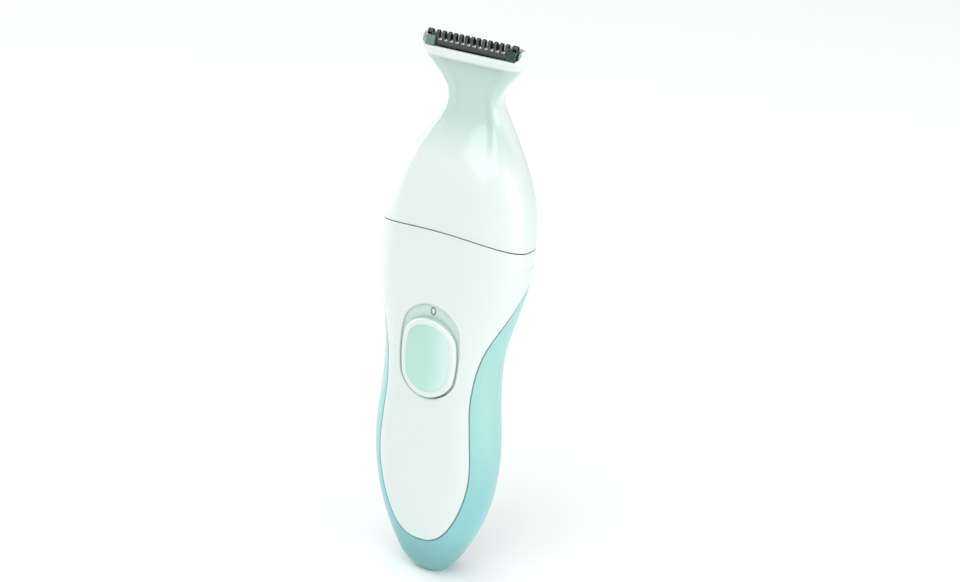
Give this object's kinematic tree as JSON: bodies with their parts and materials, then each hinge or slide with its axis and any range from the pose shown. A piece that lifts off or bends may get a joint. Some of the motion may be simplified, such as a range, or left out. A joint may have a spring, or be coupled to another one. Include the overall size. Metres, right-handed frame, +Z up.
{
  "type": "body groomer",
  "caption": "Cordless body groomer: a curved two-shell handle with a sliding power button, and a pull-off trimmer head with a reciprocating cutter behind a fixed comb.",
  "frame": {"origin": "centre of the charging socket's mouth, in the small flat at the handle's tip", "axes": "+Z up the handle to the blades, -Y out of the front with the button, +X to the right as seen from the front"},
  "size_m": [0.0446, 0.0246, 0.1556],
  "materials": {
    "white_shell": "gloss",
    "teal_shell": "satin",
    "mint_pad": "satin",
    "pale_track": "gloss",
    "grey_nylon": "matte",
    "cream_acetal": "satin",
    "dark_plastic": "satin",
    "comb_steel": "satin",
    "cutter_steel": "satin",
    "plated_steel": "satin",
    "brass_leaf": "satin",
    "copper": "satin",
    "magnet": "matte",
    "core_steel": "satin",
    "cell_wrap": "gloss",
    "board_green": "gloss",
    "seal_rubber": "matte",
    "black_rubber": "matte"
  },
  "bodies": {
    "handle": {"front_cover": "white_shell", "rear_cover": "teal_shell", "switch_track": "pale_track", "chassis": "grey_nylon", "battery_cell_left": "cell_wrap", "battery_cell_right": "cell_wrap", "cell_link": "plated_steel", "cell_tabs": "plated_steel", "circuit_board": "board_green", "board_components": "dark_plastic", "switch_block": "dark_plastic", "charge_socket": "dark_plastic", "socket_contact": "plated_steel", "motor_can": "plated_steel", "motor_end_bell": "cream_acetal", "motor_terminals": "brass_leaf", "motor_brushes": "brass_leaf", "field_magnets": "magnet", "motor_dampers": "black_rubber", "drive_collar": "white_shell", "collar_seal": "seal_rubber", "chassis_screws": "plated_steel", "collar_screws": "plated_steel"},
    "power_button": {"button_cap": "white_shell", "button_pad": "mint_pad", "button_slider": "grey_nylon", "switch_knob": "cream_acetal"},
    "motor_rotor": {"motor_shaft": "plated_steel", "armature": "core_steel", "armature_windings": "copper", "commutator": "copper", "drive_cam": "cream_acetal"},
    "head": {"head_shell": "white_shell", "head_base": "grey_nylon", "pivot_bracket": "grey_nylon", "lever_pin": "plated_steel", "blade_holder": "dark_plastic", "guard_comb": "comb_steel", "blade_end_blocks": "dark_plastic", "blade_spring": "plated_steel", "holder_screws": "plated_steel"},
    "lever": {"drive_lever": "cream_acetal"},
    "cutter": {"cutter_blade": "cutter_steel", "cutter_carrier": "dark_plastic"}
  },
  "joints": [
    {"name": "power_slide", "type": "slide", "parent": "handle", "child": "power_button", "axis": [0, 0, 1], "range_m": [0, 0.0032]},
    {"name": "motor_spin", "type": "hinge", "parent": "handle", "child": "motor_rotor", "pos_m": [0, -0.0014, 0.08], "axis": [0, 0, 1], "continuous": true},
    {"name": "head_pull_off", "type": "slide", "parent": "handle", "child": "head", "axis": [0, 0, 1], "range_m": [0, 0.03]},
    {"name": "lever_rock", "type": "hinge", "parent": "head", "child": "lever", "pos_m": [0, 0, 0.122], "axis": [0, 1, 0], "range_deg": [-1.78, 1.78]},
    {"name": "cutter_slide", "type": "slide", "parent": "head", "child": "cutter", "axis": [1, 0, 0], "range_m": [-0.00086, 0.00086]}
  ],
  "couplings": [
    {"joint": "cutter_slide", "follows": "lever_rock", "m_per_rad": 0.0276}
  ]
}
